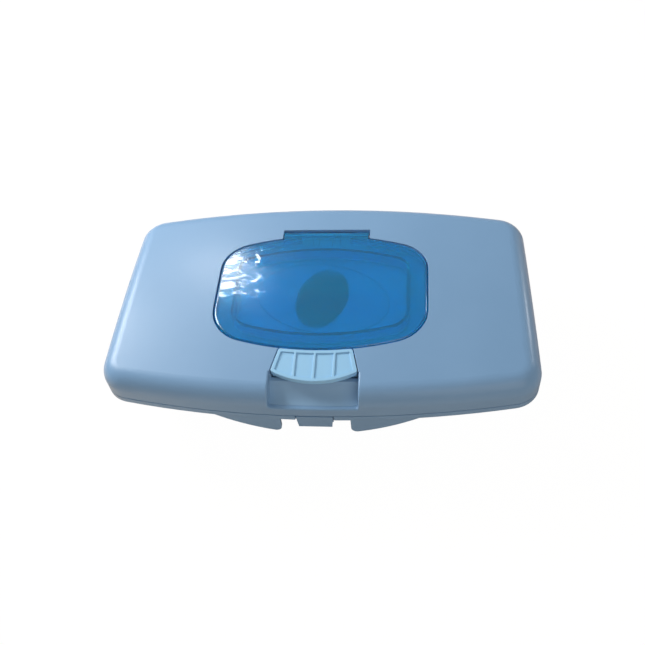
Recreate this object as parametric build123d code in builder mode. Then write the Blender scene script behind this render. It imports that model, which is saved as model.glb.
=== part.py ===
"""Countertop wipes dispenser: a shallow tub, a crowned lid that hinges at the back, and in the lid a
clear flip-up hatch over the dispensing opening, held shut by a push button at the front.

Lengths are in mm. +X is the dispenser's right, -Y its front and +Z up. The origin is on the surface that
the dispenser stands on, under the middle of its bounding box. Sketch coordinates are counted from the
middle of the case's plan, which lies a little in front of the origin, because the hinge stands out behind.
"""

import os
from math import cos, dist, pi, radians, sin, sqrt

from build123d import *

# Case: the plan outline that the lid's rim and the tub's flange share
case_width = 210.0
case_depth = 126.8
front_edge_radius = 515.0  # the front edge is one long arc
rear_edge_radius = 582.0
side_taper = 1.85  # each side draws in by this from front to back
corner_radius = 14.4

# Heights above the surface it stands on
foot_proud = 1.0
tub_depth = 34.0  # underside of the tub's flange above the tub's floor
flange_height = 3.0
lid_height = 17.9  # crown of the lid above the tub's flange
seam_gap = 0.5  # shadow line between flange and lid

# Walls
tub_wall = 2.0
lid_wall = 2.2
tray_wall = 1.8
hatch_wall = 1.8

# Lid's form
crown_drop_x = 2.6  # how far the crown falls to the sides
crown_drop_y = 2.6  # and to the front and back
shoulder_radius = 9.0
rim_band = 6.0  # plain band of the lid left under the finger recess

# Tub: how far the wall stands in from the rim, at the flange and at the floor
wall_inset_top = 8.6
floor_inset_front = 22.5
floor_inset_rear = 11.0
floor_inset_side = 11.0
floor_corner_radius = 20.0
floor_edge_radius = 5.0
flange_plate = 2.0
flange_skirt = 1.8
lip_height = 3.0
floor_rib_count = 7
floor_rib_width = 1.6
floor_rib_height = 1.0

# Grip wings, which hang from the flange on both sides of the latch
wing_depth = 11.6  # below the flange's underside, at the inner end
wing_middle_depth = 6.6
wing_inner = 16.7  # from the middle of the case
wing_middle = 36.0
wing_outer = 50.5
wing_corner = 3.0
wing_inset = 0.6  # behind the flange's edge
wing_root = 1.0  # how far the wings run up into the flange

# Feet
foot_radius = 5.0
foot_seat = 0.8
foot_inset = 13.0  # in from the floor's edges
foot_chamfer = 0.4

# Main hinge
hinge_barrel_radius = 3.0
hinge_gap = 0.4
hinge_pin_radius = 1.0
hinge_spacing = 76.0
hinge_arm_width = 8.0
hinge_ear_width = 4.0
lid_open_angle = 105.0
stop_heel = 1.6  # thickness of the heel that stops the open lid
stop_gap = 0.1

# Seal between tub and lid
gasket_inset = 6.4
gasket_width = 2.0
gasket_height = 2.1
gasket_seat = 0.6
seal_gap = 0.2
seal_skirt = 1.4

# Latch at the front of the tub
latch_width = 17.4
latch_pad_taper = 0.8  # each side draws in by this towards the bottom
latch_pad_wall = 1.8
latch_pad_height = 8.8
latch_pad_below_seam = 0.3
latch_gap = 0.4
latch_slot_depth = 6.0  # in from the flange's edge
latch_pin_radius = 0.75
latch_barrel_radius = 1.8
latch_pin_inset = 3.8  # behind the pad's face
latch_pin_below_flange = 1.6
latch_web_height = 2.4
latch_arm_wall = 1.4
latch_hook = 1.0
hook_height = 1.0
hook_gap = 0.2
ledge_rise = 0.9  # above the lid's rim
ledge_wall = 1.0
ledge_reach = 1.0
ledge_margin = 2.3  # past each side of the latch
latch_ear_wall = 1.8
latch_spring_room = 8.0
latch_spring_room_height = 4.4

# Hatch
hatch_half_width_front = 52.3
hatch_half_width_rear = 52.6
hatch_to_front = 26.5  # from the hatch's front edge to the case's, at the centre line
hatch_to_rear = 26.4
hatch_front_radius = 132.0
hatch_rear_radius = 135.0
hatch_front_corner = 20.0
hatch_rear_corner = 17.0
hatch_gap = 0.6
hatch_proud = 0.4
hatch_edge_radius = 1.2
hatch_skirt_wall = 1.6
hatch_skirt_depth = 5.0
tab_width = 44.6
tongue_width = 12.0
tongue_height = 1.4
tongue_catch = 1.0  # how far it reaches under the button's edge
tongue_gap = 0.2

# Hatch hinge
hatch_axis_behind = 1.3  # behind the hatch's rear edge
hatch_axis_below_crown = 2.8
hatch_rod_radius = 0.8
hatch_knuckle_length = 9.5
hinge_recess_behind = 5.2  # behind the hatch's rear edge
coil_room_radius = 1.6

# Dispensing tray under the hatch
bed_below_crown = 8.9
bed_wall = 2.0
weld_flange_width = 4.0
weld_flange_wall = 1.5
bond_gap = 0.05
orifice_back = 0.8  # its middle, behind the case's middle
orifice_turn = -12.0  # the oval insert sits turned by this in the tray
orifice_half_width = 34.0
orifice_to_hatch = 14.9  # from the hatch's front edge, if the oval sat straight in the middle
orifice_gap = 0.6  # shadow line round the insert
orifice_ledge = 1.7  # width of the seat that carries the insert
slot_half_width = 12.9
slot_margin = 2.6  # of the insert in front of the slot and behind it
insert_plate = 1.2
insert_wall = 1.2
insert_gap = 0.1
retainer_height = 1.5
rib_inset = 8.4  # the hatch's sealing rib stands in from its edge
rib_wall = 1.6
hatch_gasket_width = 2.4
hatch_gasket_height = 2.0
hatch_gasket_seat = 0.8

# Push button
button_rear_half_width = 17.4
button_front_half_width = 20.3
button_to_hatch = 0.5
button_side_length = 11.4  # forward of the button's rear edge at the centre line
button_length = 16.9
button_corner = 1.2
button_plate = 2.4
button_gap = 0.45
button_rim = 1.7
button_rib_width = 1.1
button_rib_pitch = 9.3
button_relief = 0.6
button_skirt_wall = 1.4
button_skirt_room = 1.0  # to the pocket's front and rear walls
button_pin_radius = 1.0
button_pin_reach = 4.6  # forward of the button's rear edge
button_pin_above_flange = 7.5
button_lug_radius = 2.2
button_lug_width = 3.0
button_lug_spacing = 19.0
button_seat_above_flange = 11.0
button_seat_radius = 2.5

# Pocket for the button, and the finger recess in front of it
pocket_half_width = 20.3
pocket_under_button = 1.6  # the pocket starts this far forward of the button's rear edge
pocket_length = 10.2
pocket_wall = 2.3
pocket_floor_above_flange = 3.6
partition_above_flange = 11.6
partition_half_width = 18.0
recess_half_width = 20.9
recess_corner = 1.2
recess_edge_radius = 0.8
scoop_step = 2.0  # from the pocket to the scoop
scoop_above_flange = 11.4
scoop_sag = 1.5

# Pins, fits and springs
running = 0.05  # radial clearance of a pin in its bore
pin_chamfer = 0.2
torsion_wire = 0.4
torsion_pitch = 1.5
hatch_coil_radius = 1.15
hatch_spring_turns = 3
hatch_spring_start = 3.5  # from the middle of the case
hatch_leg_tilt = 13.2
hatch_leg = 7.5
latch_coil_radius = 1.25
latch_spring_turns = 3
latch_leg_front = 2.0
latch_leg_rear = 5.6
button_wire = 0.5
button_coil_radius = 2.0
button_spring_reach = 8.4  # forward of the button's rear edge
button_half_turns = 7
spring_stub_radius = 1.5
spring_stub_height = 1.4
end_play = 0.25
gap_samples = 300  # points along a spring that its least gap is measured on

# Heights and places that follow
floor_z = foot_proud
flange_z = floor_z + tub_depth
seam_z = flange_z + flange_height
rim_z = seam_z + seam_gap
crown_z = seam_z + lid_height
band_z = seam_z + rim_band
half_depth = case_depth / 2
case_center_y = -(hinge_gap + 2 * hinge_barrel_radius) / 2
crown_radius_x = (case_width / 2) ** 2 / (2 * crown_drop_x)
crown_radius_y = half_depth**2 / (2 * crown_drop_y)
crown_half_angle = 8.0  # far enough round to span the case

floor_flat_width = case_width - 2 * (floor_inset_side + floor_corner_radius)
floor_flat_depth = case_depth - floor_inset_front - floor_inset_rear - 2 * foot_inset
floor_middle = (floor_inset_front - floor_inset_rear) / 2
foot_right = case_width / 2 - floor_inset_side - foot_inset
foot_front = floor_inset_front + foot_inset - half_depth
foot_rear = half_depth - floor_inset_rear - foot_inset
foot_spots = {
    "foot_front_left": (-foot_right, foot_front),
    "foot_front_right": (foot_right, foot_front),
    "foot_rear_left": (-foot_right, foot_rear),
    "foot_rear_right": (foot_right, foot_rear),
}

hinge_back = half_depth + hinge_gap + hinge_barrel_radius
hinge_spots = {
    "hinge_pin_left": -hinge_spacing / 2,
    "hinge_pin_right": hinge_spacing / 2,
}
hinge_pin_length = hinge_arm_width + 2 * (hinge_gap + hinge_ear_width)
lip_inset = gasket_inset + gasket_width + seal_gap
gasket_top = seam_z - gasket_seat + gasket_height

latch_pin_z = flange_z - latch_pin_below_flange
latch_pin_front = half_depth - latch_pin_inset
latch_pin_half_length = latch_width / 2 + latch_gap + latch_ear_wall
latch_pad_top = seam_z - latch_pad_below_seam
hook_z = rim_z + ledge_rise + ledge_wall + hook_gap
nose_front = half_depth - lid_wall - hook_gap
latch_arm_front = nose_front - latch_hook

# the hatch keeps its place from the case's edges, and the button and its pocket keep theirs from the hatch
hatch_front = half_depth - hatch_to_front
hatch_rear = half_depth - hatch_to_rear
hatch_axis_back = hatch_rear + hatch_axis_behind
hinge_recess_rear = hatch_rear + hinge_recess_behind
orifice_half_depth = hatch_front - orifice_to_hatch
slot_half_depth = orifice_half_depth - slot_margin
button_rear = hatch_front + button_to_hatch
button_side_front = button_rear + button_side_length
button_front = button_rear + button_length
button_pin_front = button_rear + button_pin_reach
button_spring_front = button_rear + button_spring_reach
pocket_rear = button_rear + pocket_under_button
pocket_front = pocket_rear + pocket_length
scoop_rear = pocket_front + scoop_step

hatch_axis_z = crown_z - hatch_axis_below_crown
hatch_rod_half_length = tab_width / 2 + hatch_gap + tray_wall
spring_room = tab_width - 2 * hatch_knuckle_length
skirt_under = crown_z - hatch_skirt_depth
bed_z = crown_z - bed_below_crown
bed_under = bed_z - bed_wall
neck_half_width = orifice_half_width - orifice_ledge - insert_gap
neck_half_depth = orifice_half_depth - orifice_ledge - insert_gap
hatch_gasket_inset = rib_inset - (hatch_gasket_width - rib_wall) / 2
hatch_gasket_top = bed_z - hatch_gasket_seat + hatch_gasket_height

button_pin_z = seam_z + button_pin_above_flange
button_seat_z = seam_z + button_seat_above_flange
button_under = skirt_under - button_plate
pocket_floor = seam_z + pocket_floor_above_flange
partition_top = seam_z + partition_above_flange
scoop_top = seam_z + scoop_above_flange
housing_half_width = pocket_half_width + pocket_wall


def plan(z):
    """The horizontal plane at height z, with its origin in the middle of the case."""
    return Plane(origin=(0, case_center_y, z))


def side(x):
    """The upright plane at x, seen from the right: its own x runs to the back and its y is height."""
    return Plane(origin=(x, case_center_y, 0), x_dir=(0, 1, 0), z_dir=(1, 0, 0))


def front(y):
    """The upright plane at y, seen from the front: its own x runs to the right and its y is height."""
    return Plane(origin=(0, case_center_y + y, 0), x_dir=(1, 0, 0), z_dir=(0, -1, 0))


def mix(low, high, share):
    """The value that lies share of the way from low to high."""
    return low + (high - low) * share


def arc_drop(radius, half_chord):
    """How far an arc falls away from its middle over half its chord."""
    return radius - sqrt(radius**2 - half_chord**2)


def barrel(z, halves, reach, radii, corners, grow=0.0):
    """A four-sided outline at height z whose front and rear edges bow outwards. Each pair holds the front
    value and the rear one: half widths, distances from the case's middle, edge radii and corner radii."""
    front_right = (halves[0], arc_drop(radii[0], halves[0]) - reach[0])
    rear_right = (halves[1], reach[1] - arc_drop(radii[1], halves[1]))
    front_left = (-front_right[0], front_right[1])
    rear_left = (-rear_right[0], rear_right[1])
    with BuildSketch(plan(z)) as outline:
        with BuildLine():
            ThreePointArc(front_left, (0, -reach[0]), front_right)
            Line(front_right, rear_right)
            ThreePointArc(rear_right, (0, reach[1]), rear_left)
            Line(rear_left, front_left)
        make_face()
        fillet(outline.vertices().sort_by(Axis.Y)[:2], corners[0])
        fillet(outline.vertices().sort_by(Axis.Y)[-2:], corners[1])
        if grow:
            offset(amount=grow, mode=Mode.REPLACE)
    return outline.sketch


def rim_outline(z, inset=0.0):
    """The case's outline at height z, drawn in by inset."""
    return barrel(
        z,
        (case_width / 2, case_width / 2 - side_taper),
        (half_depth, half_depth),
        (front_edge_radius, rear_edge_radius),
        (corner_radius, corner_radius),
        -inset,
    )


def rim_ring(z, outer_inset, inner_inset):
    """A ring between two insets of the case's outline."""
    with BuildSketch(Plane.XY.offset(z)) as ring:
        add(rim_outline(z, outer_inset))
        add(rim_outline(z, inner_inset), mode=Mode.SUBTRACT)
    return ring.sketch


def crown(drop=0.0):
    """Everything under the lid's crowned top, lowered by drop."""
    reach = case_width
    radius_x = crown_radius_x - drop
    radius_y = crown_radius_y - drop
    edge = radius_y - arc_drop(radius_x, reach)
    low = crown_radius_y - crown_z
    tilt = radians(crown_half_angle)
    center = (0, case_center_y, crown_z - crown_radius_y)
    with BuildPart() as body:
        with BuildSketch(Plane(origin=center, x_dir=(1, 0, 0), z_dir=(0, -cos(tilt), sin(tilt)))):
            with BuildLine():
                ThreePointArc((-reach, edge), (0, radius_y), (reach, edge))
                Polyline((reach, edge), (reach, low), (-reach, low), (-reach, edge))
            make_face()
        revolve(axis=Axis(center, (1, 0, 0)), revolution_arc=2 * crown_half_angle)
    return body.part


def lid_form(inset):
    """The lid's rounded form as a solid, drawn in by inset all over."""
    with BuildPart() as form:
        extrude(rim_outline(rim_z, inset), amount=lid_height + 1)
        add(crown(inset), mode=Mode.INTERSECT)
        fillet(form.faces().sort_by(Axis.Z)[-1].edges(), shoulder_radius - inset)
    return form.part


def hatch_outline(z, grow=0.0):
    """The hatch's outline at height z, without its hinge tab, grown by grow."""
    return barrel(
        z,
        (hatch_half_width_front, hatch_half_width_rear),
        (hatch_front, hatch_rear),
        (hatch_front_radius, hatch_rear_radius),
        (hatch_front_corner, hatch_rear_corner),
        grow,
    )


def hatch_ring(z, outer_inset, inner_inset):
    """A ring between two insets of the hatch's outline."""
    with BuildSketch(Plane.XY.offset(z)) as ring:
        add(hatch_outline(z, -outer_inset))
        add(hatch_outline(z, -inner_inset), mode=Mode.SUBTRACT)
    return ring.sketch


def well_outline(z, grow=0.0):
    """The opening that the hatch covers, with the recess for its hinge tab, grown by grow."""
    recess_width = tab_width + 2 * (hatch_gap + grow)
    with BuildSketch(Plane.XY.offset(z)) as outline:
        add(hatch_outline(z, hatch_gap + grow))
        with Locations((0, case_center_y)):
            Rectangle(recess_width, hinge_recess_rear + grow, align=(Align.CENTER, Align.MIN))
    return outline.sketch


def button_outline(z, grow=0.0):
    """The push button's outline at height z, grown by grow. Its rear edge follows the hatch's front."""
    rear_side = arc_drop(hatch_front_radius, button_rear_half_width) - button_rear
    rear_right = (button_rear_half_width, rear_side)
    rear_left = (-button_rear_half_width, rear_side)
    front_right = (button_front_half_width, -button_side_front)
    front_left = (-button_front_half_width, -button_side_front)
    with BuildSketch(plan(z)) as outline:
        with BuildLine():
            ThreePointArc(rear_left, (0, -button_rear), rear_right)
            Line(rear_right, front_right)
            ThreePointArc(front_right, (0, -button_front), front_left)
            Line(front_left, rear_left)
        make_face()
        fillet(outline.vertices(), button_corner)
        if grow:
            offset(amount=grow, mode=Mode.REPLACE)
    return outline.sketch


def orifice_oval(z, half_width, half_depth, wall=0.0):
    """An oval at height z, turned and placed as the orifice insert is; with a wall, a ring."""
    with BuildSketch(plan(z)) as oval:
        with Locations((0, orifice_back)):
            Ellipse(half_width, half_depth, rotation=orifice_turn)
            if wall:
                Ellipse(half_width - wall, half_depth - wall, rotation=orifice_turn, mode=Mode.SUBTRACT)
    return oval.sketch


def tub_floor(z, wall=0.0):
    """The tub's outline at height z, near its floor, drawn in by wall."""
    share = (z - floor_z) / tub_depth
    front_inset = mix(floor_inset_front, wall_inset_top, share)
    rear_inset = mix(floor_inset_rear, wall_inset_top, share)
    half_width = case_width / 2 - mix(floor_inset_side, wall_inset_top, share)
    corner = mix(floor_corner_radius, corner_radius - wall_inset_top, share)
    return barrel(
        z,
        (half_width, half_width - side_taper),
        (half_depth - front_inset, half_depth - rear_inset),
        (front_edge_radius, rear_edge_radius),
        (corner, corner),
        -wall,
    )


def tub_form(wall=0.0):
    """The tub's body as a solid up to the flange; with a wall, the room inside it."""
    with BuildPart() as form:
        loft(sections=[tub_floor(floor_z + wall, wall), rim_outline(flange_z, wall_inset_top + wall)])
        fillet(form.edges().group_by(Axis.Z)[0], floor_edge_radius - wall)
    return form.part


def grip_wings():
    """The two wings under the front of the flange, each with a rounded corner beside the latch."""
    top = flange_z + wing_root
    with BuildPart() as wings:
        with BuildSketch(front(0)) as outline:
            with BuildLine():
                Polyline(
                    (wing_outer, flange_z),
                    (wing_outer, top),
                    (wing_inner, top),
                    (wing_inner, flange_z - wing_depth),
                )
                ThreePointArc(
                    (wing_inner, flange_z - wing_depth),
                    (wing_middle, flange_z - wing_middle_depth),
                    (wing_outer, flange_z),
                )
            make_face()
            fillet(outline.vertices().sort_by(Axis.Y)[0], wing_corner)
            mirror(about=Plane.YZ)
        extrude(amount=case_depth)
        ring = rim_ring(flange_z - wing_depth, wing_inset, wing_inset + flange_skirt)
        extrude(ring, amount=wing_depth + wing_root, mode=Mode.INTERSECT)
    return wings.part


def seal_ring():
    """The skirt inside the lid that comes down on the tub's gasket, open above the button's housing."""
    window_z = band_z - tray_wall - seal_gap
    with BuildPart() as skirt:
        inset = gasket_inset + (gasket_width - seal_skirt) / 2
        extrude(rim_ring(gasket_top + seal_gap, inset, inset + seal_skirt), amount=lid_height)
        with BuildSketch(plan(window_z)):
            with Locations((0, -half_depth)):
                Rectangle(2 * (housing_half_width + seal_gap), case_depth)
        extrude(amount=lid_height, mode=Mode.SUBTRACT)
        add(lid_form(lid_wall / 2), mode=Mode.INTERSECT)
    return skirt.part


def bar(radius, half_length, back, z):
    """A round bar along X at case depth back and height z."""
    with BuildPart() as solid:
        with BuildSketch(side(-half_length)):
            with Locations((back, z)):
                Circle(radius)
        extrude(amount=2 * half_length)
    return solid.part


def least_gap(path, radius, wire):
    """The least gap between the turns of a wound wire, on points that are half a turn apart or more."""
    points = [tuple(path @ (i / gap_samples)) for i in range(gap_samples + 1)]
    apart = round(pi * radius / path.length * gap_samples)
    pairs = ((i, j) for i in range(gap_samples + 1) for j in range(i + apart, gap_samples + 1))
    return min(dist(points[i], points[j]) for i, j in pairs) - wire


def coil(place, radius, wire, rises, start=0.0, end_turn=0.0, lead=0.0, tail=0.0):
    """A spring wound about the z axis of place, in half turns that each rise by one of rises. It starts
    at the angle start with a straight lead, and ends with a flat arc of end_turn degrees and a tail."""

    def point(angle, height, reach=radius):
        return (reach * cos(radians(angle)), reach * sin(radians(angle)), height)

    def ahead(angle, height, length):
        x, y, z = point(angle, height)
        return (x - length * sin(radians(angle)), y + length * cos(radians(angle)), z)

    with BuildPart() as spring:
        with BuildLine(place) as path:
            if lead:
                Line(ahead(start, 0, -lead), point(start, 0))
            angle = start
            height = 0
            for rise in rises:
                bulge = sqrt(radius**2 + (rise / 2) ** 2)
                middle = point(angle + 90, height + rise / 2, bulge)
                ThreePointArc(point(angle, height), middle, point(angle + 180, height + rise))
                angle += 180
                height += rise
            if end_turn:
                middle = point(angle + end_turn / 2, height)
                ThreePointArc(point(angle, height), middle, point(angle + end_turn, height))
                angle += end_turn
            if tail:
                Line(point(angle, height), ahead(angle, height, tail))
        wire_path = path.wires()[0]
        with BuildSketch(Plane(origin=wire_path @ 0, z_dir=wire_path % 0)):
            Circle(wire / 2)
        sweep(path=wire_path)
    print("least gap between turns", round(least_gap(wire_path, radius, wire), 2))
    return spring.part


def hinge_bore():
    """The bore of the main hinge, through both of its knuckles."""
    return bar(hinge_pin_radius + running, (hinge_spacing + hinge_pin_length) / 2, hinge_back, seam_z)


def latch_bore():
    """The bore for the latch's pin."""
    return bar(latch_pin_radius + running, latch_pin_half_length, -latch_pin_front, latch_pin_z)


def button_bore():
    """The bore for the button's pin."""
    return bar(button_pin_radius + running, housing_half_width, -button_pin_front, button_pin_z)


def rod_seat():
    """The round seat that the lid and the tray form together for the hatch's rod."""
    return bar(hatch_rod_radius + running, hatch_rod_half_length, hatch_axis_back, hatch_axis_z)


def button_underside():
    """What the button carries under its plate: side skirts, lugs for its pin and the spring's seat."""
    with BuildPart() as skirts:
        with BuildSketch(Plane.XY.offset(button_under)) as ring:
            add(button_outline(button_under, -button_gap))
            add(button_outline(button_under, -button_gap - button_skirt_wall), mode=Mode.SUBTRACT)
        extrude(amount=lid_height)
        with BuildSketch(plan(button_under)):
            with Locations((0, button_skirt_room - pocket_front)):
                skirt_length = pocket_front - pocket_rear - 2 * button_skirt_room
                Rectangle(case_width, skirt_length, align=(Align.CENTER, Align.MIN))
        extrude(amount=lid_height, mode=Mode.INTERSECT)
    with BuildPart() as underside:
        add(skirts.part)
        for x in (-button_lug_spacing / 2, button_lug_spacing / 2):
            with BuildSketch(side(x - button_lug_width / 2)):
                with Locations((-button_pin_front, button_pin_z)):
                    Circle(button_lug_radius)
                    Rectangle(2 * button_lug_radius, lid_height, align=(Align.CENTER, Align.MIN))
            extrude(amount=button_lug_width)
        with BuildSketch(plan(button_seat_z)):
            with Locations((0, -button_spring_front)):
                Circle(button_seat_radius)
        extrude(amount=lid_height)
        with BuildSketch(plan(button_seat_z)):
            with Locations((0, -button_spring_front)):
                Circle(spring_stub_radius)
        extrude(amount=-spring_stub_height)
        add(crown(button_plate / 2), mode=Mode.INTERSECT)
    return underside.part


# Places that the arcs set
heel_edge = half_depth - arc_drop(rear_edge_radius, (hinge_spacing - hinge_arm_width) / 2)
heel_reach = hinge_back - heel_edge - stop_gap
tongue_top = crown_z - arc_drop(crown_radius_y, button_rear) - button_plate - tongue_gap
tab_radius = hatch_proud + hatch_axis_below_crown - arc_drop(crown_radius_y, hatch_axis_back)

os.makedirs("parts", exist_ok=True)


# Tub, with its flange, latch ears, hinge ears and floor ribs
with BuildPart() as tub_shell:
    add(tub_form())
    extrude(rim_outline(seam_z - flange_plate), amount=flange_plate)
    extrude(rim_ring(flange_z, 0, flange_skirt), amount=flange_height)
    extrude(rim_ring(flange_z, wall_inset_top, wall_inset_top + tub_wall), amount=flange_height)
    extrude(rim_ring(seam_z, lip_inset, wall_inset_top + tub_wall), amount=lip_height)
    add(tub_form(tub_wall), mode=Mode.SUBTRACT)
    mouth_height = flange_height + lip_height
    extrude(rim_outline(flange_z, wall_inset_top + tub_wall), amount=mouth_height, mode=Mode.SUBTRACT)
    groove = rim_ring(seam_z, gasket_inset, gasket_inset + gasket_width)
    extrude(groove, amount=-gasket_seat, mode=Mode.SUBTRACT)
    add(grip_wings())
    # slot in the flange for the latch
    with BuildSketch(plan(flange_z)):
        with Locations((0, -half_depth)):
            Rectangle(latch_width + 2 * latch_gap, 2 * latch_slot_depth)
    extrude(amount=flange_height, mode=Mode.SUBTRACT)
    # ears for the latch's pin
    for x in (latch_width / 2 + latch_gap, -latch_width / 2 - latch_gap - latch_ear_wall):
        with BuildSketch(side(x)):
            with Locations((-latch_pin_front, latch_pin_z)):
                Circle(latch_barrel_radius)
                Rectangle(
                    2 * latch_barrel_radius,
                    seam_z - flange_plate / 2 - latch_pin_z,
                    align=(Align.CENTER, Align.MIN),
                )
        extrude(amount=latch_ear_wall)
    # ears for the hinge's pins
    ear_length = hinge_back - half_depth + 2 * flange_skirt
    for x in (-hinge_spacing / 2, hinge_spacing / 2):
        inner = hinge_arm_width / 2 + hinge_gap
        for start in (x + inner, x - inner - hinge_ear_width):
            with BuildSketch(side(start)):
                with Locations((hinge_back, seam_z)):
                    Circle(hinge_barrel_radius)
                    Rectangle(ear_length, hinge_barrel_radius, align=(Align.MAX, Align.MAX))
            extrude(amount=hinge_ear_width)
    # ribs on the floor
    with BuildSketch(plan(floor_z + tub_wall / 2)):
        with Locations((0, floor_middle)):
            with GridLocations(floor_flat_width / (floor_rib_count + 1), 0, floor_rib_count, 1):
                SlotOverall(floor_flat_depth, floor_rib_width, rotation=90)
    extrude(amount=tub_wall / 2 + floor_rib_height)
    # seats for the feet
    with BuildSketch(plan(floor_z)):
        with Locations(*foot_spots.values()):
            Circle(foot_radius)
    extrude(amount=foot_seat, mode=Mode.SUBTRACT)
    add(latch_bore(), mode=Mode.SUBTRACT)
    add(hinge_bore(), mode=Mode.SUBTRACT)

tub_shell.part.label = "tub_shell"
export_step(tub_shell.part, "parts/tub_shell.step")

for name, spot in foot_spots.items():
    with BuildPart() as foot:
        with BuildSketch(plan(0)):
            with Locations(spot):
                Circle(foot_radius)
        extrude(amount=foot_proud + foot_seat)
        chamfer(foot.edges().group_by(Axis.Z)[0], foot_chamfer)
    foot.part.label = name
    export_step(foot.part, f"parts/{name}.step")

with BuildPart() as tub_gasket:
    gasket_ring = rim_ring(seam_z - gasket_seat, gasket_inset, gasket_inset + gasket_width)
    extrude(gasket_ring, amount=gasket_height)
tub_gasket.part.label = "tub_gasket"
export_step(tub_gasket.part, "parts/tub_gasket.step")

# Pins of the main hinge
for name, x in hinge_spots.items():
    with BuildPart() as pin:
        with BuildSketch(side(x - hinge_pin_length / 2)):
            with Locations((hinge_back, seam_z)):
                Circle(hinge_pin_radius)
        extrude(amount=hinge_pin_length)
        chamfer(pin.edges(), pin_chamfer)
    pin.part.label = name
    export_step(pin.part, f"parts/{name}.step")

with BuildPart() as latch_pin:
    add(bar(latch_pin_radius, latch_pin_half_length, -latch_pin_front, latch_pin_z))
    chamfer(latch_pin.edges(), pin_chamfer)
latch_pin.part.label = "latch_pin"
export_step(latch_pin.part, "parts/latch_pin.step")

# Latch: a finger pad, knuckles on the pin, and an arm whose hook catches the ledge inside the lid
with BuildPart() as lid_latch:
    with BuildSketch(side(-latch_width / 2)):
        with BuildLine():
            Polyline(
                (-latch_arm_front, latch_pin_z),
                (-latch_arm_front, hook_z),
                (-nose_front, hook_z),
                (-nose_front, hook_z + hook_height / 3),
                (-latch_arm_front - latch_hook / 3, hook_z + hook_height),
                (latch_arm_wall - latch_arm_front, hook_z + hook_height),
                (latch_arm_wall - latch_arm_front, latch_pin_z),
                close=True,
            )
        make_face()
        with Locations((-latch_pin_front, latch_pin_z)):
            Circle(latch_barrel_radius)
            web_length = latch_pin_inset - latch_pad_wall / 2
            Rectangle(web_length, latch_web_height, align=(Align.MAX, Align.CENTER))
    extrude(amount=latch_width)
    with BuildSketch(front(-half_depth)):
        with BuildLine():
            Polyline(
                (-latch_width / 2, latch_pad_top),
                (latch_width / 2, latch_pad_top),
                (latch_width / 2 - latch_pad_taper, latch_pad_top - latch_pad_height),
                (latch_pad_taper - latch_width / 2, latch_pad_top - latch_pad_height),
                close=True,
            )
        make_face()
    extrude(amount=-latch_pad_wall)
    fillet(lid_latch.edges().group_by(Axis.Z)[0], latch_pad_wall / 3)
    add(latch_bore(), mode=Mode.SUBTRACT)
    # room for the spring between the knuckles
    with BuildSketch(side(-latch_spring_room / 2)):
        with Locations((latch_pad_wall - half_depth, latch_pin_z)):
            room_depth = latch_pin_inset + latch_barrel_radius
            Rectangle(room_depth, latch_spring_room_height, align=(Align.MIN, Align.CENTER))
    extrude(amount=latch_spring_room, mode=Mode.SUBTRACT)
lid_latch.part.label = "lid_latch"
export_step(lid_latch.part, "parts/lid_latch.step")

latch_spring_place = Plane(
    origin=(-latch_spring_turns * torsion_pitch / 2, case_center_y - latch_pin_front, latch_pin_z),
    x_dir=(0, 1, 0),
    z_dir=(1, 0, 0),
)
with BuildPart() as latch_spring:
    add(
        coil(
            latch_spring_place,
            latch_coil_radius,
            torsion_wire,
            [torsion_pitch / 2] * (2 * latch_spring_turns),
            start=180,
            end_turn=90,
            lead=latch_leg_front,
            tail=latch_leg_rear,
        )
    )
latch_spring.part.label = "latch_spring"
export_step(latch_spring.part, "parts/latch_spring.step")

# Lid cover: the crowned shell, with its opening, finger recess, latch ledge, seal skirt and hinge arms
with BuildPart() as lid_cover:
    add(lid_form(0))
    # mouth of the finger recess, rounded where it meets the outside
    with BuildSketch(front(-button_side_front)) as mouth:
        with Locations((0, band_z)):
            Rectangle(2 * recess_half_width, lid_height, align=(Align.CENTER, Align.MIN))
        fillet(mouth.vertices().group_by(Axis.Y)[0], recess_corner)
    extrude(amount=case_depth / 4, mode=Mode.SUBTRACT)
    mouth_edges = lid_cover.edges(Select.LAST).filter_by(Axis.Y, reverse=True).group_by(Axis.Y)[:-1]
    fillet([edge for group in mouth_edges for edge in group], recess_edge_radius)
    add(lid_form(lid_wall), mode=Mode.SUBTRACT)
    add(seal_ring())
    # ledge that the latch's hook catches
    with BuildSketch(side(-latch_width / 2 - ledge_margin)):
        with Locations((lid_wall / 2 - half_depth, hook_z - hook_gap)):
            Rectangle(lid_wall / 2 + ledge_reach, ledge_wall, align=(Align.MIN, Align.MAX))
    extrude(amount=latch_width + 2 * ledge_margin)
    # arms of the main hinge, each with a heel that stops the open lid against the tub's flange
    for x in (-hinge_spacing / 2, hinge_spacing / 2):
        with BuildSketch(side(x - hinge_arm_width / 2)):
            with Locations((hinge_back, seam_z)):
                Circle(hinge_barrel_radius)
            with BuildLine():
                Polyline(
                    (half_depth - lid_wall / 2, rim_z),
                    (hinge_back, rim_z),
                    (hinge_back, seam_z + hinge_barrel_radius),
                    (half_depth - lid_wall / 2, band_z + lid_wall),
                    close=True,
                )
            make_face()
            with Locations(Location((hinge_back, seam_z, 0), (0, 0, lid_open_angle))):
                Rectangle(heel_reach, stop_heel, align=(Align.MAX, Align.MAX))
        extrude(amount=hinge_arm_width)
    add(hinge_bore(), mode=Mode.SUBTRACT)
    extrude(well_outline(skirt_under - hatch_skirt_depth), amount=lid_height, mode=Mode.SUBTRACT)
    extrude(button_outline(scoop_top, button_gap), amount=lid_height, mode=Mode.SUBTRACT)
    # grooves over the ends of the hatch's rod
    add(rod_seat(), mode=Mode.SUBTRACT)
lid_cover.part.label = "lid_cover"
export_step(lid_cover.part, "parts/lid_cover.step")

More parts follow.
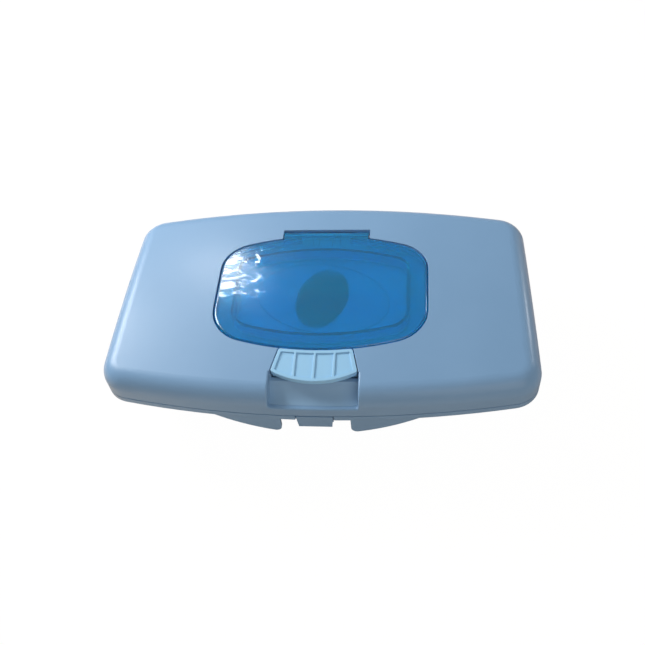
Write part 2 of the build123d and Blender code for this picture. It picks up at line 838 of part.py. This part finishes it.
# Dispensing tray: the well under the hatch, the button's pocket and the scoop of the finger recess
with BuildPart() as tray_flange:
    extrude(well_outline(bed_under, tray_wall + weld_flange_width), amount=lid_height)
    add(crown(lid_wall + bond_gap + weld_flange_wall), mode=Mode.SUBTRACT)

with BuildPart() as dispensing_tray:
    extrude(well_outline(bed_under, tray_wall), amount=lid_height)
    add(tray_flange.part)
    with BuildSketch(side(-housing_half_width)):
        with BuildLine():
            Polyline(
                (-half_depth, band_z - tray_wall),
                (-pocket_front - tray_wall, band_z - tray_wall),
                (-pocket_front - tray_wall, pocket_floor - tray_wall),
                (tray_wall - pocket_rear, pocket_floor - tray_wall),
                (tray_wall - pocket_rear, crown_z),
                (-half_depth, crown_z),
                close=True,
            )
        make_face()
    extrude(amount=2 * housing_half_width)
    add(lid_form(lid_wall + bond_gap), mode=Mode.INTERSECT)
    extrude(well_outline(bed_z), amount=lid_height, mode=Mode.SUBTRACT)
    with BuildSketch(plan(pocket_floor)):
        with Locations((0, -pocket_rear)):
            Rectangle(2 * pocket_half_width, pocket_front - pocket_rear, align=(Align.CENTER, Align.MAX))
    extrude(amount=lid_height, mode=Mode.SUBTRACT)
    extrude(button_outline(scoop_top, button_gap), amount=lid_height, mode=Mode.SUBTRACT)
    # low part of the wall between the well and the pocket, which the hatch's tongue passes over
    with BuildSketch(plan(partition_top)):
        with Locations((0, -pocket_rear)):
            Rectangle(2 * partition_half_width, 2 * tray_wall, align=(Align.CENTER, Align.MIN))
    extrude(amount=lid_height, mode=Mode.SUBTRACT)
    # scoop
    with BuildSketch(side(-recess_half_width)):
        with BuildLine():
            SagittaArc((-scoop_rear, scoop_top), (lid_wall - half_depth, band_z), scoop_sag)
            Polyline(
                (lid_wall - half_depth, band_z),
                (-half_depth, band_z),
                (-half_depth, crown_z),
                (-pocket_front, crown_z),
                (-pocket_front, scoop_top),
                (-scoop_rear, scoop_top),
            )
        make_face()
    extrude(amount=2 * recess_half_width, mode=Mode.SUBTRACT)
    # seat and hole for the orifice insert, and groove for the hatch's gasket
    insert_seat = orifice_oval(bed_z, orifice_half_width + orifice_gap, orifice_half_depth + orifice_gap)
    extrude(insert_seat, amount=-insert_plate, mode=Mode.SUBTRACT)
    insert_hole = orifice_oval(bed_z, neck_half_width + insert_gap, neck_half_depth + insert_gap)
    extrude(insert_hole, amount=-bed_wall, mode=Mode.SUBTRACT)
    groove = hatch_ring(bed_z, hatch_gasket_inset, hatch_gasket_inset + hatch_gasket_width)
    extrude(groove, amount=-hatch_gasket_seat, mode=Mode.SUBTRACT)
    # locating stub for the button's spring
    with BuildSketch(plan(pocket_floor)):
        with Locations((0, -button_spring_front)):
            Circle(spring_stub_radius)
    extrude(amount=spring_stub_height)
    add(button_bore(), mode=Mode.SUBTRACT)
    add(rod_seat(), mode=Mode.SUBTRACT)
dispensing_tray.part.label = "dispensing_tray"
export_step(dispensing_tray.part, "parts/dispensing_tray.step")

with BuildPart() as orifice_insert:
    extrude(orifice_oval(bed_z, orifice_half_width, orifice_half_depth), amount=-insert_plate)
    slot = orifice_oval(bed_z, slot_half_width, slot_half_depth)
    extrude(slot, amount=-insert_plate, mode=Mode.SUBTRACT)
    neck = orifice_oval(bed_z - insert_plate, neck_half_width, neck_half_depth, insert_wall)
    extrude(neck, amount=insert_plate - bed_wall - retainer_height)
orifice_insert.part.label = "orifice_insert"
export_step(orifice_insert.part, "parts/orifice_insert.step")

with BuildPart() as orifice_retainer:
    extrude(orifice_oval(bed_under, orifice_half_width, orifice_half_depth), amount=-retainer_height)
    neck_room = orifice_oval(bed_under, neck_half_width + running, neck_half_depth + running)
    extrude(neck_room, amount=-retainer_height, mode=Mode.SUBTRACT)
orifice_retainer.part.label = "orifice_retainer"
export_step(orifice_retainer.part, "parts/orifice_retainer.step")

with BuildPart() as hatch_gasket:
    hatch_gasket_inner = hatch_gasket_inset + hatch_gasket_width
    gasket_ring = hatch_ring(bed_z - hatch_gasket_seat, hatch_gasket_inset, hatch_gasket_inner)
    extrude(gasket_ring, amount=hatch_gasket_height)
hatch_gasket.part.label = "hatch_gasket"
export_step(hatch_gasket.part, "parts/hatch_gasket.step")

with BuildPart() as hatch_rod:
    add(bar(hatch_rod_radius, hatch_rod_half_length, hatch_axis_back, hatch_axis_z))
    chamfer(hatch_rod.edges(), pin_chamfer)
hatch_rod.part.label = "hatch_rod"
export_step(hatch_rod.part, "parts/hatch_rod.step")

# Springs that lift the hatch: one leg under the hatch, the other down on the tray
hatch_spring_place = Plane(
    origin=(hatch_spring_start, case_center_y + hatch_axis_back, hatch_axis_z),
    x_dir=(0, 1, 0),
    z_dir=(1, 0, 0),
)
with BuildPart() as hatch_spring_right:
    add(
        coil(
            hatch_spring_place,
            hatch_coil_radius,
            torsion_wire,
            [torsion_pitch / 2] * (2 * hatch_spring_turns - 1),
            start=270 - hatch_leg_tilt,
            end_turn=90 + hatch_leg_tilt,
            lead=hatch_leg,
            tail=hatch_axis_z - bed_z - end_play,
        )
    )
hatch_spring_right.part.label = "hatch_spring_right"
export_step(hatch_spring_right.part, "parts/hatch_spring_right.step")

with BuildPart() as hatch_spring_left:
    add(mirror(hatch_spring_right.part, about=Plane.YZ))
hatch_spring_left.part.label = "hatch_spring_left"
export_step(hatch_spring_left.part, "parts/hatch_spring_left.step")

# Hatch: a clear crowned plate with a skirt, a sealing rib, a hinge tab and a tongue
with BuildPart() as hatch_plate:
    extrude(hatch_outline(skirt_under), amount=lid_height)
    add(crown(-hatch_proud), mode=Mode.INTERSECT)
    fillet(hatch_plate.faces().sort_by(Axis.Z)[-1].edges(), hatch_edge_radius)

with BuildPart() as hatch_tab:
    with BuildSketch(plan(hatch_axis_z)):
        Rectangle(tab_width, hatch_axis_back, align=(Align.CENTER, Align.MIN))
    extrude(amount=lid_height)
    add(bar(tab_radius, tab_width / 2, hatch_axis_back, hatch_axis_z))
    add(crown(-hatch_proud), mode=Mode.INTERSECT)

with BuildPart() as hatch_hollow:
    extrude(hatch_outline(skirt_under, -hatch_skirt_wall), amount=lid_height)
    with BuildSketch(plan(bed_z)):
        Rectangle(spring_room, half_depth, align=(Align.CENTER, Align.MIN))
    extrude(amount=lid_height)
    add(crown(hatch_wall - hatch_proud), mode=Mode.INTERSECT)

with BuildPart() as hatch_rib:
    extrude(hatch_ring(hatch_gasket_top + seal_gap, rib_inset, rib_inset + rib_wall), amount=lid_height)
    add(crown((hatch_wall - hatch_proud) / 2), mode=Mode.INTERSECT)

with BuildPart() as hatch_shell:
    add(hatch_plate.part)
    add(hatch_tab.part)
    add(hatch_hollow.part, mode=Mode.SUBTRACT)
    add(hatch_rib.part)
    add(bar(coil_room_radius, spring_room / 2, hatch_axis_back, hatch_axis_z), mode=Mode.SUBTRACT)
    add(bar(hatch_rod_radius + running, tab_width / 2, hatch_axis_back, hatch_axis_z), mode=Mode.SUBTRACT)
    # tongue that the button's rear edge holds down
    with BuildSketch(side(-tongue_width / 2)):
        with Locations((-button_rear - tongue_catch, tongue_top)):
            tongue_length = button_rear + tongue_catch + hatch_skirt_wall - hatch_front
            Rectangle(tongue_length, tongue_height, align=(Align.MIN, Align.MAX))
    extrude(amount=tongue_width)
hatch_shell.part.label = "hatch_shell"
export_step(hatch_shell.part, "parts/hatch_shell.step")

# Push button: a ribbed plate that follows the lid's crown, on two lugs, with a seat for its spring
with BuildPart() as button_body:
    extrude(button_outline(button_under), amount=lid_height)
    add(crown(), mode=Mode.INTERSECT)

with BuildPart() as button_field:
    extrude(button_outline(skirt_under, -button_rim), amount=lid_height)
    add(crown(button_relief), mode=Mode.SUBTRACT)
    with BuildSketch(plan(skirt_under)):
        with GridLocations(button_rib_pitch, 0, 3, 1):
            Rectangle(button_rib_width, case_depth)
    extrude(amount=lid_height, mode=Mode.SUBTRACT)

with BuildPart() as push_button:
    add(button_body.part)
    add(crown(button_plate), mode=Mode.SUBTRACT)
    add(button_field.part, mode=Mode.SUBTRACT)
    add(button_underside())
    add(button_bore(), mode=Mode.SUBTRACT)
push_button.part.label = "push_button"
export_step(push_button.part, "parts/push_button.step")

with BuildPart() as button_pin:
    add(bar(button_pin_radius, housing_half_width, -button_pin_front, button_pin_z))
    chamfer(button_pin.edges(), pin_chamfer)
button_pin.part.label = "button_pin"
export_step(button_pin.part, "parts/button_pin.step")

button_spring_rise = button_seat_z - pocket_floor - 2 * end_play - button_wire
button_spring_z = pocket_floor + end_play + button_wire / 2
with BuildPart() as button_spring:
    add(
        coil(
            Plane(origin=(0, case_center_y - button_spring_front, button_spring_z)),
            button_coil_radius,
            button_wire,
            [0] + [button_spring_rise / button_half_turns] * button_half_turns + [0],
        )
    )
button_spring.part.label = "button_spring"
export_step(button_spring.part, "parts/button_spring.step")
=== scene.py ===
"""Countertop wipes dispenser: materials, floor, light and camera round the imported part.

Lengths are in metres, in the part's own frame. The pieces' colours are display values of 0 to 255,
and those of the floor, the lamps and the lines in the steel are linear ones.
"""

import math
from functools import cached_property

import bpy
from mathutils import Matrix, Vector


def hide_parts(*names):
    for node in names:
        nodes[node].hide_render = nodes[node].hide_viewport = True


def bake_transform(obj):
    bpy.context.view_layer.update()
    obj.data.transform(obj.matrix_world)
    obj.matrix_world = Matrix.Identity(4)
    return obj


PHOTO_SIDE = 645  # pixels of the square frame
FOCAL_PIXELS = 793.9
SENSOR = 36.0  # mm
CAMERA_AT = Vector((0.0444, -0.2602, 0.3528))
CAMERA_AIM = Vector((0.00195, -0.0224, 0.053))
CAMERA_ROLL = math.radians(-7.59)
CAMERA_NEAR, CAMERA_FAR = 0.01, 20

SHARP_ANGLE = math.radians(32)
EDGE_RADIUS = 0.0005  # moulded edges look this soft

FLOOR_REACH = 4.0
FLOOR_TINT = (0.85, 0.68, 0.54, 1.0)  # what the object's underside gets back from the floor
FLOOR_GLOW = 1.02
FLOOR_GLOW_SHARE = 0.97  # the rest keeps the object's shadow
SKY_STRENGTH = 0.24
WHITE = (1.0, 1.0, 1.0, 1.0)
STEEL_LINES = (0.32, 0.32, 0.33, 1.0)

MIX_SHARE, MIX_A, MIX_B = 0, 6, 7  # inputs of a mix node that mixes colours
MIX_RESULT = 2  # and its output

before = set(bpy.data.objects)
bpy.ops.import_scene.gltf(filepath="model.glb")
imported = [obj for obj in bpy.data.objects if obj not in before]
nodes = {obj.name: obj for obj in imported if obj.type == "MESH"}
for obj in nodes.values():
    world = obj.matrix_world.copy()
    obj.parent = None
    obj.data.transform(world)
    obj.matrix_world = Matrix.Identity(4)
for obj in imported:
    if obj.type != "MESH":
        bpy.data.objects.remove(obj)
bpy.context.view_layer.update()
scene = bpy.context.scene


def linear(r, g, b):
    """A linear colour from display values."""

    def one(v):
        v /= 255
        return v / 12.92 if v <= 0.04045 else ((v + 0.055) / 1.055) ** 2.4

    return (one(r), one(g), one(b), 1.0)


# ---------------------------------------------------------------- node trees


class Graph:
    """The node tree of a material or a world, with short calls for the nodes that this scene uses."""

    def __init__(self, owner):
        owner.use_nodes = True
        self.tree = owner.node_tree
        self.tree.nodes.clear()

    def put(self, socket, value):
        if isinstance(value, bpy.types.NodeSocket):
            self.tree.links.new(value, socket)
        else:
            socket.default_value = value

    def node(self, kind, **settings):
        """A node whose settings go to its inputs, with _ for a space, or else to its own properties."""
        made = self.tree.nodes.new(kind)
        for key, value in settings.items():
            label = key.replace("_", " ")
            if label in made.inputs:
                self.put(made.inputs[label], value)
            else:
                setattr(made, key, value)
        return made

    @cached_property
    def coords(self):
        return self.node("ShaderNodeTexCoord").outputs["Object"]

    def along(self, axis):
        """The place along one axis of the part's frame."""
        return self.node("ShaderNodeSeparateXYZ", Vector=self.coords).outputs[axis]

    def noise(self, scale, detail, roughness=0.5, stretch=(1.0, 1.0, 1.0)):
        mapped = self.node("ShaderNodeMapping", Vector=self.coords, Scale=stretch).outputs["Vector"]
        texture = self.node("ShaderNodeTexNoise", Vector=mapped, Scale=scale)
        self.put(texture.inputs["Detail"], detail)
        self.put(texture.inputs["Roughness"], roughness)
        return texture.outputs["Fac"]

    def spread(self, value, low, high, from_low=0.0, from_high=1.0):
        """The value's range stretched to another range, with both ends held."""
        made = self.node(
            "ShaderNodeMapRange",
            Value=value,
            From_Min=from_low,
            From_Max=from_high,
            To_Min=low,
            To_Max=high,
            clamp=True,
        )
        return made.outputs["Result"]

    def math(self, operation, *values):
        made = self.node("ShaderNodeMath", operation=operation)
        for socket, value in zip(made.inputs, values):
            self.put(socket, value)
        return made.outputs["Value"]

    def mix(self, share, a, b):
        made = self.node("ShaderNodeMix", data_type="RGBA")
        self.put(made.inputs[MIX_SHARE], share)
        self.put(made.inputs[MIX_A], a)
        self.put(made.inputs[MIX_B], b)
        return made.outputs[MIX_RESULT]

    def bump(self, height, distance, strength, **normal):
        made = self.node("ShaderNodeBump", Height=height, Distance=distance, Strength=strength, **normal)
        return made.outputs["Normal"]

    def soft_edges(self, radius):
        """A normal that rounds the edges within radius."""
        return self.node("ShaderNodeBevel", samples=6, Radius=radius).outputs["Normal"]

    def seen(self):
        """1 for rays from the camera and rays that come through the hatch, 0 for others."""
        path = self.node("ShaderNodeLightPath")
        return self.math("MAXIMUM", path.outputs["Is Camera Ray"], path.outputs["Is Transmission Ray"])

    def end(self, kind, shader):
        self.node(kind, Surface=shader)


# ---------------------------------------------------------------- materials


def surface(name, paint):
    """A material whose surface takes the sockets that paint(graph) gives."""
    material = bpy.data.materials.new(name)
    g = Graph(material)
    shader = g.node("ShaderNodeBsdfPrincipled", **paint(g))
    g.end("ShaderNodeOutputMaterial", shader.outputs["BSDF"])
    return material


def moulded(name, colour, shade, rough):
    """Satin moulded plastic: soft edges, a fine grain, faint sink marks and hairline scratches."""

    def paint(g):
        clouds = g.noise(scale=26, detail=4, roughness=0.55)
        scratches = g.noise(scale=900, detail=2, roughness=0.4, stretch=(0.05, 1.3, 1.0))
        cloudy = g.spread(clouds, low=0.0, high=1.0, from_low=0.35, from_high=0.7)
        sheen = g.spread(clouds, low=rough - 0.04, high=rough + 0.05, from_low=0.3, from_high=0.75)
        scratched = g.spread(scratches, low=0.0, high=0.10, from_low=0.70, from_high=0.76)
        sunk = g.bump(
            g.noise(scale=38, detail=2), distance=0.00010, strength=0.4, Normal=g.soft_edges(EDGE_RADIUS)
        )
        grain = g.noise(scale=5200, detail=2, roughness=0.6)
        return {
            "Base_Color": g.mix(cloudy, linear(*shade), linear(*colour)),
            "Roughness": g.math("ADD", sheen, scratched),
            "Normal": g.bump(grain, distance=0.00003, strength=0.5, Normal=sunk),
            "IOR": 1.49,
            "Coat_Weight": 0.18,
            "Coat_Roughness": 0.2,
        }

    return surface(name, paint)


def steel(name, colour, rough):
    """Drawn wire: fine lines along it and a soft metal sheen."""

    def paint(g):
        lines = g.noise(scale=2600, detail=2, stretch=(0.08, 1.0, 1.0))
        worn = g.spread(lines, low=0.0, high=0.5, from_low=0.4, from_high=0.7)
        return {
            "Base_Color": g.mix(worn, linear(*colour), STEEL_LINES),
            "Metallic": 1.0,
            "Roughness": g.spread(lines, low=rough - 0.06, high=rough + 0.10),
            "Normal": g.bump(lines, distance=0.00002, strength=0.5),
        }

    return surface(name, paint)


def rubber(name, colour):
    """Matt rubber with a faint mottle."""

    def paint(g):
        mottle = g.noise(scale=420, detail=3, roughness=0.6)
        dark = tuple(c * 0.7 for c in linear(*colour)[:3]) + (1.0,)
        return {
            "Base_Color": g.mix(g.spread(mottle, low=0.0, high=0.35), linear(*colour), dark),
            "Roughness": g.spread(mottle, low=0.7, high=0.88),
            "Normal": g.bump(g.noise(scale=3000, detail=2), distance=0.00004, strength=0.6),
        }

    return surface(name, paint)


def clear_blue(name, deep, pale):
    """Clear blue plastic with faint flow waves, under a bare film that is creased at its rear left."""

    def paint(g):
        waves = g.noise(scale=22, detail=3, stretch=(0.5, 1.6, 1.0))
        smears = g.noise(scale=120, detail=4, roughness=0.55, stretch=(0.4, 1.0, 1.0))
        wavy = g.spread(waves, low=0.0, high=1.0, from_low=0.3, from_high=0.72)
        crumple = g.noise(scale=50, detail=3, roughness=0.45, stretch=(0.8, 1.3, 1.0))
        creases = g.math("ABSOLUTE", g.math("SUBTRACT", crumple, 0.5))
        loose_left = g.spread(g.along("X"), low=1.0, high=0.05, from_low=-0.036, from_high=-0.002)
        loose_rear = g.spread(g.along("Y"), low=0.2, high=1.0, from_low=-0.022, from_high=0.004)
        film = g.math("MULTIPLY", creases, g.math("MULTIPLY", loose_left, loose_rear))
        return {
            "Base_Color": g.mix(wavy, linear(*deep), linear(*pale)),
            "Transmission_Weight": 0.82,
            "Roughness": g.spread(smears, low=0.14, high=0.22, from_low=0.35, from_high=0.75),
            "IOR": 1.5,
            "Normal": g.bump(waves, distance=0.0002, strength=0.5),
            "Coat_Weight": 1.0,
            "Coat_Roughness": g.spread(smears, low=0.07, high=0.14, from_low=0.35, from_high=0.75),
            "Coat_Normal": g.bump(film, distance=0.0020, strength=1.0),
        }

    return surface(name, paint)


case_plastic = moulded("case_plastic", colour=(139, 179, 217), shade=(136, 176, 214), rough=0.40)
tray_plastic = moulded("tray_plastic", colour=(158, 196, 228), shade=(154, 192, 224), rough=0.42)
insert_plastic = moulded("insert_plastic", colour=(156, 194, 224), shade=(150, 188, 220), rough=0.36)
button_plastic = moulded("button_plastic", colour=(168, 220, 255), shade=(164, 216, 251), rough=0.36)
hatch_plastic = clear_blue("hatch_plastic", deep=(6, 188, 247), pale=(14, 202, 252))
seal_rubber = rubber("seal_rubber", (206, 212, 218))
hatch_seal_rubber = rubber("hatch_seal_rubber", (150, 184, 214))
foot_rubber = rubber("foot_rubber", (84, 92, 102))
pin_steel = steel("pin_steel", (205, 206, 208), rough=0.28)
spring_steel = steel("spring_steel", (190, 192, 196), rough=0.24)

MOULDINGS_AND_SEALS = {
    "tub_shell": case_plastic,
    "lid_cover": case_plastic,
    "lid_latch": case_plastic,
    "dispensing_tray": tray_plastic,
    "orifice_insert": insert_plastic,
    "orifice_retainer": insert_plastic,
    "push_button": button_plastic,
    "hatch_shell": hatch_plastic,
    "tub_gasket": seal_rubber,
    "hatch_gasket": hatch_seal_rubber,
}


def finish_of(name):
    """The material of the CAD node with this name."""
    if name in MOULDINGS_AND_SEALS:
        return MOULDINGS_AND_SEALS[name]
    if name.startswith("foot_"):
        return foot_rubber
    return spring_steel if "spring" in name else pin_steel


# ---------------------------------------------------------------- pieces

for name, piece in nodes.items():
    piece.data.materials.clear()
    piece.data.materials.append(finish_of(name))
    for polygon in piece.data.polygons:
        polygon.use_smooth = True
    piece.data.set_sharp_from_angle(angle=SHARP_ANGLE)

# The foot of the button's spring stays on the lid and its head follows the button, so a plain copy
# of the spring stands for it here and the spring itself is hidden.
coil = bpy.data.objects.new("button_spring_coil", nodes["button_spring"].data.copy())
scene.collection.objects.link(coil)
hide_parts("button_spring")
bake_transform(coil)

# ---------------------------------------------------------------- floor and world


def floor_material():
    """Pale floor that keeps a soft shadow, and shows white to the camera and through the hatch."""
    material = bpy.data.materials.new("pale_floor")
    g = Graph(material)
    plain = g.node("ShaderNodeBsdfDiffuse", Color=FLOOR_TINT)
    white = g.node("ShaderNodeEmission", Color=WHITE, Strength=FLOOR_GLOW)
    mixed = g.node("ShaderNodeMixShader")
    sources = (g.math("MULTIPLY", g.seen(), FLOOR_GLOW_SHARE), plain.outputs[0], white.outputs[0])
    for socket, source in zip(mixed.inputs, sources):
        g.put(socket, source)
    g.end("ShaderNodeOutputMaterial", mixed.outputs[0])
    return material


floor_mesh = bpy.data.meshes.new("floor")
corners = [(x * FLOOR_REACH, y * FLOOR_REACH, 0) for x, y in ((-1, -1), (1, -1), (1, 1), (-1, 1))]
floor_mesh.from_pydata(corners, [], [(0, 1, 2, 3)])
floor_mesh.materials.append(floor_material())
floor = bpy.data.objects.new("floor", floor_mesh)
scene.collection.objects.link(floor)

scene.world = bpy.data.worlds.new("studio")
sky_graph = Graph(scene.world)
sky = sky_graph.node(
    "ShaderNodeBackground", Color=WHITE, Strength=sky_graph.spread(sky_graph.seen(), SKY_STRENGTH, 1.0)
)
sky_graph.end("ShaderNodeOutputWorld", sky.outputs[0])

# ---------------------------------------------------------------- lamps and camera


def lamp(name, at, aim, wide, tall, watts, colour):
    light = bpy.data.lights.new(name, "AREA")
    light.shape = "RECTANGLE"
    light.size, light.size_y = wide, tall
    light.energy = watts
    light.color = colour
    made = bpy.data.objects.new(name, light)
    made.location = at
    made.rotation_euler = (Vector(aim) - Vector(at)).to_track_quat("-Z", "Y").to_euler()
    scene.collection.objects.link(made)


lamp(
    "window",
    at=(-0.49, 0.26, 0.43),
    aim=(-0.03, 0.0, 0.04),
    wide=0.30,
    tall=0.30,
    watts=3.75,
    colour=(0.98, 0.99, 1.0),
)
lamp(
    "glint",
    at=(-0.25, 0.49, 0.53),
    aim=(-0.045, 0.0, 0.055),
    wide=0.09,
    tall=0.10,
    watts=0.52,
    colour=(1.0, 1.0, 1.0),
)
lamp(
    "side_window",
    at=(0.80, 0.55, 0.32),
    aim=(0.1, -0.03, 0.05),
    wide=0.10,
    tall=0.10,
    watts=0.9,
    colour=(0.95, 0.98, 1.0),
)
lamp(
    "fill",
    at=(0.6, -0.9, 0.8),
    aim=(0.0, 0.0, 0.02),
    wide=0.9,
    tall=0.9,
    watts=3.1,
    colour=(1.0, 0.97, 0.93),
)

camera_data = bpy.data.cameras.new("camera")
camera_data.sensor_width = SENSOR
camera_data.lens = FOCAL_PIXELS * SENSOR / PHOTO_SIDE
camera_data.clip_start, camera_data.clip_end = CAMERA_NEAR, CAMERA_FAR
camera = bpy.data.objects.new("camera", camera_data)
ahead = (CAMERA_AIM - CAMERA_AT).normalized()
right = ahead.cross(Vector((0, 0, 1))).normalized()
up = right.cross(ahead)
rolled_right = right * math.cos(CAMERA_ROLL) + up * math.sin(CAMERA_ROLL)
rolled_up = up * math.cos(CAMERA_ROLL) - right * math.sin(CAMERA_ROLL)
turn = Matrix((rolled_right, rolled_up, -ahead)).transposed().to_4x4()
camera.matrix_world = Matrix.Translation(CAMERA_AT) @ turn
scene.collection.objects.link(camera)
scene.camera = camera
scene.view_settings.view_transform = "Standard"
